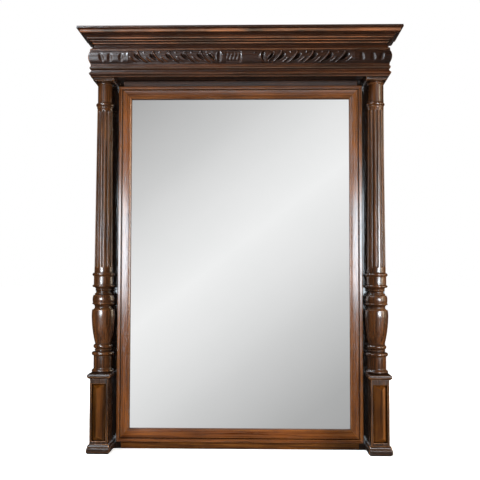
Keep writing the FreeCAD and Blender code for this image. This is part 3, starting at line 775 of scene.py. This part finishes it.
def relief(x, t, half_high):
    high = running_leaves(x - CARVED_OFFSET, t) + centre_motif(x, t) + end_lobes(x - CARVED_OFFSET, t)
    return high * fade(abs(t), half_high - RELIEF_MARGIN[0], half_high - RELIEF_MARGIN[1])


# The cushion's shape, as shares of its depth and height, and the spacing of its mesh
FLAT_SHARE = 0.65
SWELL_SHARE = 0.35
HEAD_SHARE = 0.73
FILLET_SHARE = 0.06
SWELL_STEPS = 44
MITRE_STEPS = 8
STEP_ALONG = 1.3


# Points of (out, up, carved or not) round the cushion
def cushion_profile(out, tall):
    foot = FILLET_SHARE * tall
    head = (1.0 - FILLET_SHARE) * tall
    flat = FLAT_SHARE * out
    top = HEAD_SHARE * out
    swell = arc_points((flat, foot), (flat, head), SWELL_SHARE * out, SWELL_STEPS)
    profile = [(0.0, 0.0, False), (flat, 0.0, False), (flat, foot, False)]
    profile += [(u, v, True) for u, v in swell[:-1]]
    profile += [(*swell[-1], False), (top, head, False), (top, tall, False), (0.0, tall, False)]
    return profile


# Places of (share along, share of the mitre), from one mitred end to the other
def frieze_stations():
    inner = int(2 * HEADER_HALF / STEP_ALONG)
    stations = [(-1.0, 1 - i / MITRE_STEPS) for i in range(MITRE_STEPS)]
    stations += [(-1.0 + 2.0 * i / inner, 0.0) for i in range(inner + 1)]
    stations += [(1.0, (i + 1) / MITRE_STEPS) for i in range(MITRE_STEPS)]
    return stations


def carved_frieze(material):
    low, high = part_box("frieze_front")
    out = (high[1] - low[1]) / MM
    tall = (high[2] - low[2]) / MM
    middle = tall / 2
    half = middle - FILLET_SHARE * tall
    swell = SWELL_SHARE * out
    radius = (half * half + swell * swell) / (2 * swell)
    profile = cushion_profile(out, tall)
    stations = frieze_stations()
    verts = []
    for along, mitre in stations:
        for u, v, carved in profile:
            x = along * (HEADER_HALF + mitre * u)
            if carved:
                rise = relief(x, v - middle, half)
                tilt = (v - middle) / radius
                u += rise * math.sqrt(max(0.0, 1 - tilt * tilt))
                v += rise * tilt
            verts.append((x * MM, high[1] - u * MM, low[2] + v * MM))
    faces = swept_faces(len(stations), len(profile))
    return piece("carved_frieze", verts, faces, material, crease=40.0,
                 stands_for=["frieze_front"])


# Cornice: (out, up, bulge) in millimetres from the foot of the header's face, from bed bead to fascia
CROWN_OUT = 49.5
CROWN_TALL = 68.0
CROWN = [
    # bed bead and neck
    (11.5, 0), (11.5, 4.5, 1.5), (9.8, 5.2), (4.4, 15.5, -0.8), (3.0, 19.6),
    # three reeds
    (8.0, 25.6, 2.2), (7.4, 26.8), (10.4, 27.2), (14.4, 31.2, 1.2), (13.8, 32.4), (16.6, 32.8),
    (22.2, 38.4, 1.9), (21.6, 39.6), (23.6, 40.2),
    # cove, ovolo and upper cove
    (29.6, 45.6, -0.6), (29.2, 46.6), (31.0, 47.0), (41.4, 56.2, 3.8), (41.8, 57.0), (47.6, 61.0, -1.2),
    # fascia
    (CROWN_OUT, 61.4), (48.4, CROWN_TALL), (0.0, CROWN_TALL),
]


# One side of the cornice, swept between two ends that are each (x, y, x per unit out, y per unit out)
def cornice_side(node, ends, scale, foot, material):
    points = [(0.0, 0.0)]
    for out, up, *bulge in CROWN:
        points += arc_points(points[-1], (out, up), bulge[0] if bulge else 0, ARC_STEPS)
    verts = []
    for x, y, dx, dy in ends:
        for out, up in points:
            u = out * scale[0]
            verts.append((x + dx * u, y + dy * u, foot + up * scale[1]))
    faces = swept_faces(len(ends), len(points))
    return piece("moulded_" + node, verts, faces, material, crease=35.0, stands_for=[node])


def moulded_cornice(materials):
    low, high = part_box("cornice_front")
    face = high[1]
    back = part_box("cornice_left")[1][1]
    half = HEADER_HALF * MM
    scale = ((high[1] - low[1]) / CROWN_OUT, (high[2] - low[2]) / CROWN_TALL)
    corner_left = (-half, face, -1, -1)
    corner_right = (half, face, 1, -1)
    return [
        cornice_side("cornice_left", ((-half, back, -1, 0), corner_left), scale, low[2], materials["y"]),
        cornice_side("cornice_front", (corner_left, corner_right), scale, low[2], materials["x"]),
        cornice_side("cornice_right", (corner_right, (half, back, 1, 0)), scale, low[2], materials["y"]),
    ]


# Plinth panel: a hipped wedge whose ridge stands nearer to the outer side
RIDGE_SHARE = 0.34
RIDGE_HIP = 15.0 * MM


def hipped_panel(side, material):
    node = side + "_plinth_panel"
    low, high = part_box(node)
    share = RIDGE_SHARE if side == "left" else 1.0 - RIDGE_SHARE
    x = low[0] + share * (high[0] - low[0])
    back = high[1]
    base = [(low[0], back, low[2]), (high[0], back, low[2]), (high[0], back, high[2]),
            (low[0], back, high[2])]
    top = [(x, low[1], low[2] + RIDGE_HIP), (x, low[1], high[2] - RIDGE_HIP)]
    faces = [(0, 1, 4), (1, 2, 5, 4), (2, 3, 5), (3, 0, 4, 5), (3, 2, 1, 0)]
    return piece(side + "_hipped_panel", base + top, faces, material, crease=5.0,
                 stands_for=[node])


# Slotted screws: domed heads on the boards and hanging plates, their rings as shares of (radius, height)
HEAD_RINGS = ((1.0, 0.0), (0.97, 0.25), (0.75, 0.42), (0.4, 0.52))
HEAD_AROUND = 24
HEAD_MIDDLE = 0.2
SLOT_HALF = 0.2
SLOT_DEEP = 0.3
SLOT_FLOOR = 0.1
BOARD_SCREW_R = 2.8 * MM
BOARD_SCREW_IN = 0.04
BOARD_SCREW_UP = 0.005
HANGER_SCREW_R = 3.8 * MM
HANGER_SCREW_UP = 0.009


# Height of a domed head at one place on a ring, less the slot
def head_height(ring, height, angle, radius):
    if height == 0.0:
        return 0.0
    slot = SLOT_DEEP * radius if abs(ring * math.sin(angle)) < SLOT_HALF * radius else 0.0
    return max(SLOT_FLOOR * radius, height - slot)


def screw_heads(name, spots, radius, material):
    verts = []
    faces = []
    for x, y, z in spots:
        base = len(verts)
        for ring_share, height_share in HEAD_RINGS:
            ring = ring_share * radius
            for j in range(HEAD_AROUND):
                angle = 2 * math.pi * j / HEAD_AROUND
                out = head_height(ring, height_share * radius, angle, radius)
                verts.append((x + ring * math.cos(angle), y + out, z + ring * math.sin(angle)))
        verts.append((x, y + HEAD_MIDDLE * radius, z))
        for quad in grid_faces(len(HEAD_RINGS), HEAD_AROUND):
            faces.append(tuple(base + k for k in reversed(quad)))
        top = len(verts) - 1
        last = top - HEAD_AROUND
        for j in range(HEAD_AROUND):
            faces.append((top, last + (j + 1) % HEAD_AROUND, last + j))
        faces.append(tuple(base + j for j in range(HEAD_AROUND)))
    return piece(name, verts, faces, material, crease=30.0)


def board_screws(material):
    spots = []
    for name in ("backboard_left", "backboard_middle", "backboard_right"):
        low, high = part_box(name)
        for x in (low[0] + BOARD_SCREW_IN, high[0] - BOARD_SCREW_IN):
            for z in (low[2] + BOARD_SCREW_UP, high[2] - BOARD_SCREW_UP):
                spots.append((x, high[1], z))
    screw_heads("backboard_screws", spots, BOARD_SCREW_R, material)


def hanger_screws(material):
    spots = []
    for side in SIDES:
        low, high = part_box(side + "_hanger")
        for z in (low[2] + HANGER_SCREW_UP, high[2] - HANGER_SCREW_UP):
            spots.append(((low[0] + high[0]) / 2, high[1], z))
    screw_heads("hanger_screws", spots, HANGER_SCREW_R, material)


# Materials
OAK = {
    axis: [oak("oak_%s_%d" % (axis, i), axis, shift=3.1 * i, wear_and_light=0.9, coat=0.1, grain=0.75)
           for i in range(3)]
    for axis in "xyz"
}
# The cornice's band: faces tilted about a third downwards take the rubbed tone as a painted highlight
HEADER = {
    axis: oak("header_oak_" + axis, axis, HEADER_OAK, shift=2.2, wear_and_light=0.9, rough=(0.24, 0.36), grain=0.8,
              shine=0.6, band=-0.33)
    for axis in "xy"
}
ARCHITRAVE = {
    axis: oak("architrave_oak_" + axis, axis, HEADER_OAK, shift=3.2, wear_and_light=0.7, rough=(0.26, 0.38), grain=0.8,
              shine=0.5)
    for axis in "xy"
}
WARM = [
    oak("warm_oak_%d" % i, "z", WARM_OAK, shift=1.7 + 2.3 * i, rough=(0.11, 0.17), grain=0.6, shine=0.9,
        dull_sides=0.6)
    for i in range(2)
]
# Painted shade on the top moulding and painted light on the bottom one, from darker and lighter copies of the
# frame's oak
WARM_TOP = oak("warm_oak_top", "x", WARM_PAINTED_SHADE, shift=4.0, rough=(0.22, 0.32), grain=0.6, shine=0.25,
               dull_sides=0.6)
WARM_LOW = oak("warm_oak_low", "x", WARM_PAINTED_LIGHT, shift=1.7, rough=(0.24, 0.34), grain=0.6, shine=0.5)
# Painted shade: dark oak for the top rail and soffit board, near-black oak for the stiles
PAINTED_SHADE_WOOD = {
    "x": oak("painted_shade_oak_x", "x", PAINTED_SHADE_OAK, shift=5.3, rough=(0.42, 0.55), shine=0.25),
    "z": oak("painted_shade_oak_z", "z", STILE_PAINTED_SHADE_OAK, shift=5.3, wear_and_light=0.4, rough=(0.06, 0.09), grain=0.3, shine=0.8),
}
PANEL = oak("panel_oak", "z", PANEL_OAK, shift=6.1, rough=(0.32, 0.44), grain=0.8, shine=0.2, painted_shade_reach=(0.5, 0.1))
# Painted light on the bottom rail
RAIL_PAINTED_LIGHT = oak("rail_oak_painted_light", "x", RAIL_PAINTED_LIGHT_OAK, shift=8.3, rough=(0.34, 0.46), grain=1.2, shine=0.2)
TURNED = [
    oak("turned_oak_%d" % i, "z", TURNED_OAK, shift=4.0 + 2.9 * i, wear_and_light=0.6, rough=(0.18, 0.27), grain=0.7,
        shine=0.38, painted_shade_reach=(0.94, 0.55))
    for i in range(2)
]
CARVED = oak("carved_oak", "x", HEADER_OAK, shift=7.7, wear_and_light=0.9, rough=(0.24, 0.34), grain=0.3, shine=0.8,
             painted_shade_reach=(0.95, 0.6))
RAW = {axis: raw_wood("raw_wood_" + axis, axis) for axis in "xz"}
GLASS = silvered("silvered_glass")
STEEL = steel("steel")

# CAD nodes that stay, by the axis of their grain
CROSS_GRAINED = ("plinth_cap", "plinth_foot", "plinth_ovolo_front", "capital_block")
SIDE_OVOLOS = [side + "_plinth_ovolo_" + place for side in SIDES for place in ("inner", "outer")]
OAK_NODES = {
    "x": ["header_board"] + [side + "_" + name for name in CROSS_GRAINED for side in SIDES],
    "y": SIDE_OVOLOS + ["header_end_left", "header_end_right"],
    "z": ["left_plinth_block", "right_plinth_block"],
}
HEADER_NODES = {"x": ["architrave_front"],
                "y": ["architrave_left", "architrave_right", "frieze_left", "frieze_right"]}
PAINTED_SHADE_NODES = {"x": ["top_rail", "soffit_board"], "z": ["left_stile", "right_stile"]}
RAW_NODES = {"x": ["top_board", "header_back", "glazing_blocks"],
             "z": ["backboard_left", "backboard_middle", "backboard_right", "corner_blocks"]}


def finish_node(name, material):
    mesh = nodes[name].data
    mesh.materials.clear()
    mesh.materials.append(material)


for axis, names in OAK_NODES.items():
    for index, name in enumerate(names):
        finish_node(name, OAK[axis][index % len(OAK[axis])])
for materials, grouped in ((ARCHITRAVE, HEADER_NODES), (PAINTED_SHADE_WOOD, PAINTED_SHADE_NODES), (RAW, RAW_NODES)):
    for axis, names in grouped.items():
        for name in names:
            finish_node(name, materials[axis])
for side, material in zip(SIDES, WARM):
    finish_node("frame_moulding_" + side, material)
    finish_node(side + "_hanger", STEEL)
finish_node("frame_moulding_top", WARM_TOP)
finish_node("frame_moulding_bottom", WARM_LOW)
finish_node("bottom_rail", RAIL_PAINTED_LIGHT)
finish_node("mirror_plate", GLASS)

shafts = [column(side, material) for side, material in zip(SIDES, TURNED)]
frieze = carved_frieze(CARVED)
cornice = moulded_cornice(HEADER)
panels = [hipped_panel(side, PANEL) for side in SIDES]
board_screws(STEEL)
hanger_screws(STEEL)

# Floor: pale and matt, clear to reflections, lifted towards white for the camera
FLOOR_HALF = 40.0
FLOOR_GREY = 0.86
FLOOR_ROUGH = 0.9
FLOOR_NEAR = 0.9
FLOOR_FAR = 4.0
LIFT_NEAR = 0.62
LIFT_FAR = 0.92


def stage_floor():
    corners = [(-FLOOR_HALF, -FLOOR_HALF, 0), (FLOOR_HALF, -FLOOR_HALF, 0), (FLOOR_HALF, FLOOR_HALF, 0),
               (-FLOOR_HALF, FLOOR_HALF, 0)]
    mesh = bpy.data.meshes.new("floor")
    mesh.from_pydata(corners, [], [(0, 1, 2, 3)])
    floor = bpy.data.objects.new("floor", mesh)
    bpy.context.collection.objects.link(floor)
    material, net, shader = new_material("pale_floor")
    path = net.add("ShaderNodeLightPath")
    shader.inputs["Base Color"].default_value = opaque(grey(FLOOR_GREY))
    shader.inputs["Roughness"].default_value = FLOOR_ROUGH
    shader.inputs["Emission Color"].default_value = opaque(grey(1.0))
    reach = net.add("ShaderNodeVectorMath", operation="LENGTH")
    net.link(net.place(), reach.inputs[0])
    lift = net.range(reach.outputs["Value"], FLOOR_NEAR, FLOOR_FAR, LIFT_NEAR, LIFT_FAR)
    net.link(net.math("MULTIPLY", path.outputs["Is Camera Ray"], lift), shader.inputs["Emission Strength"])
    clear = net.add("ShaderNodeBsdfTransparent")
    mixed = net.add("ShaderNodeMixShader")
    net.link(path.outputs["Is Glossy Ray"], mixed.inputs[0])
    net.link(shader.outputs[0], mixed.inputs[1])
    net.link(clear.outputs[0], mixed.inputs[2])
    net.link(mixed.outputs[0], material.node_tree.nodes["Material Output"].inputs[0])
    mesh.materials.append(material)


# The studio as the glass sees it: one soft bright band that rises to the right and falls off to both corners
BAND_SLOPE = 0.79
BAND_PLACE = 0.059
BAND_REACH = 0.6
BAND_TONES = ((0.0, 0.92), (0.074, 0.82), (0.125, 0.73), (0.16, 0.65), (0.277, 0.445), (0.6, 0.16))
POLISH_SEES = 0.02
MATT_SEES = 0.12


def studio_world():
    world = bpy.data.worlds.new("studio")
    bpy.context.scene.world = world
    world.use_nodes = True
    net = Net(world.node_tree)
    background = world.node_tree.nodes["Background"]
    path = net.add("ShaderNodeLightPath")
    way = net.split(net.add("ShaderNodeTexCoord").outputs["Generated"])
    ahead = net.math("MAXIMUM", net.math("MULTIPLY", way["Y"], -1.0), 0.05)
    across = net.math("DIVIDE", way["X"], ahead)
    up = net.math("DIVIDE", way["Z"], ahead)
    along = net.math("SUBTRACT", net.math("MULTIPLY", across, BAND_SLOPE), up)
    off = net.math("ABSOLUTE", net.math("ADD", along, BAND_PLACE))
    stops = [(at / BAND_REACH, grey(level)) for at, level in BAND_TONES]
    band = net.ramp(net.range(off, 0.0, BAND_REACH), stops)
    seen = net.mix(path.outputs["Is Singular Ray"], opaque(grey(POLISH_SEES)), band)
    seen = net.mix(path.outputs["Is Glossy Ray"], opaque(grey(MATT_SEES)), seen)
    seen = net.mix(path.outputs["Is Camera Ray"], seen, opaque(grey(1.0)))
    net.link(seen, background.inputs["Color"])
    background.inputs["Strength"].default_value = 1.0


# The lamp lights only these objects, or, with the state EXCLUDE, all others
def link_lamp(lamp, objects, state):
    linked = bpy.data.collections.new(lamp.name + "_" + state.lower())
    for obj in objects:
        linked.objects.link(obj)
    for entry in linked.collection_objects:
        entry.light_linking.link_state = state
    lamp.light_linking.receiver_collection = linked


# A soft rectangle of light at an azimuth from the front, in degrees, aimed at a height on the middle axis
def soft_lamp(name, azimuth, height, distance, size, power, aim=0.66, tint=(1, 1, 1), only=(), spared=()):
    light = bpy.data.lights.new(name, "AREA")
    light.shape = "RECTANGLE"
    light.size, light.size_y = size
    light.energy = power
    light.color = tint
    lamp = bpy.data.objects.new(name, light)
    bpy.context.collection.objects.link(lamp)
    turn = math.radians(azimuth)
    place = Vector((distance * math.sin(turn), -distance * math.cos(turn), height))
    lamp.location = place
    lamp.visible_camera = False
    lamp.rotation_euler = (Vector((0, 0, aim)) - place).to_track_quat("-Z", "Y").to_euler()
    if only:
        link_lamp(lamp, only, "INCLUDE")
    if spared:
        link_lamp(lamp, spared, "EXCLUDE")


# Tints of the lamps
SKY = (0.80, 0.91, 1.0)
PALE_SKY = (0.84, 0.93, 1.0)
COOL = (0.93, 0.96, 1.0)
SUN = (1.0, 0.86, 0.64)
LOW_SUN = (1.0, 0.82, 0.55)
GLOW = (1.0, 0.74, 0.50)

# The strips in front hang at one height and distance and are aimed at about the middle of the glass
STRIP_PLACE = {"height": 0.78, "distance": 3.4, "aim": 0.72}
HEADER_AIM = 1.2
SHAFT_AZIMUTHS = (-22, 30)


def strip_lamps(uprights, unlit):
    soft_lamp("front_strip", 0, size=(2.6, 0.6), power=165, tint=PALE_SKY, spared=unlit, **STRIP_PLACE)
    soft_lamp("frame_strip", 0, size=(5.4, 0.8), power=190, tint=SKY, only=uprights, **STRIP_PLACE)
    for shaft, azimuth in zip(shafts, SHAFT_AZIMUTHS):
        soft_lamp(shaft.name + "_strip", azimuth, size=(1.0, 0.6), power=260, tint=PALE_SKY, only=[shaft],
                  **STRIP_PLACE)


def studio_lamps():
    architrave = [nodes["architrave_" + side] for side in ("front", "left", "right")]
    cushion = [nodes["frieze_left"], nodes["frieze_right"], frieze]
    low_wood = [nodes["frame_moulding_bottom"], nodes["bottom_rail"]]
    uprights = [nodes["frame_moulding_" + side] for side in SIDES]
    uprights += [nodes[side + "_stile"] for side in SIDES]
    header = cornice + architrave + cushion
    strip_lamps(uprights, [nodes["mirror_plate"]] + header + panels + low_wood + uprights + shafts)
    soft_lamp("header_strip", 0, 0.6, 3.4, (2.6, 0.4), 60, HEADER_AIM, GLOW, only=cornice + architrave)
    soft_lamp("header_window", -24, 1.3, 3.2, (0.5, 1.6), 30, HEADER_AIM, SKY, only=cornice + cushion)
    soft_lamp("window_left", -48, 1.2, 3.2, (0.4, 1.8), 18, tint=COOL, spared=panels + shafts)
    soft_lamp("window_right", 66, 1.1, 3.0, (0.6, 1.8), 66, tint=SUN, spared=cushion + shafts[:1])
    soft_lamp("right_rim", 92, 1.1, 3.0, (0.5, 2.0), 14, tint=LOW_SUN)
    soft_lamp("overhead_left", -52, 2.35, 1.6, (0.5, 0.4), 62, HEADER_AIM, SKY, spared=panels)
    soft_lamp("panel_key", 64, 0.8, 2.4, (0.5, 1.2), 40, 0.2, SUN, only=panels)
    soft_lamp("back_fill", 180, 0.75, 2.2, (0.7, 0.7), 50)


def studio_camera():
    camera = bpy.data.cameras.new("camera")
    camera.lens = CAMERA_LENS
    camera.sensor_width = SENSOR_WIDTH
    obj = bpy.data.objects.new("camera", camera)
    bpy.context.collection.objects.link(obj)
    ahead = Vector((math.sin(CAMERA_YAW) * math.cos(CAMERA_PITCH),
                    math.cos(CAMERA_YAW) * math.cos(CAMERA_PITCH), math.sin(CAMERA_PITCH)))
    right = Vector((math.cos(CAMERA_YAW), -math.sin(CAMERA_YAW), 0.0))
    up = right.cross(ahead)
    tilted = right * math.cos(CAMERA_ROLL) + up * math.sin(CAMERA_ROLL)
    above = tilted.cross(ahead)
    turn = Matrix((tilted, above, -ahead)).transposed()
    obj.matrix_world = Matrix.Translation(CAMERA_AT) @ turn.to_4x4()
    bpy.context.scene.camera = obj


stage_floor()
studio_world()
studio_lamps()
studio_camera()

bpy.context.scene.view_settings.view_transform = "Standard"
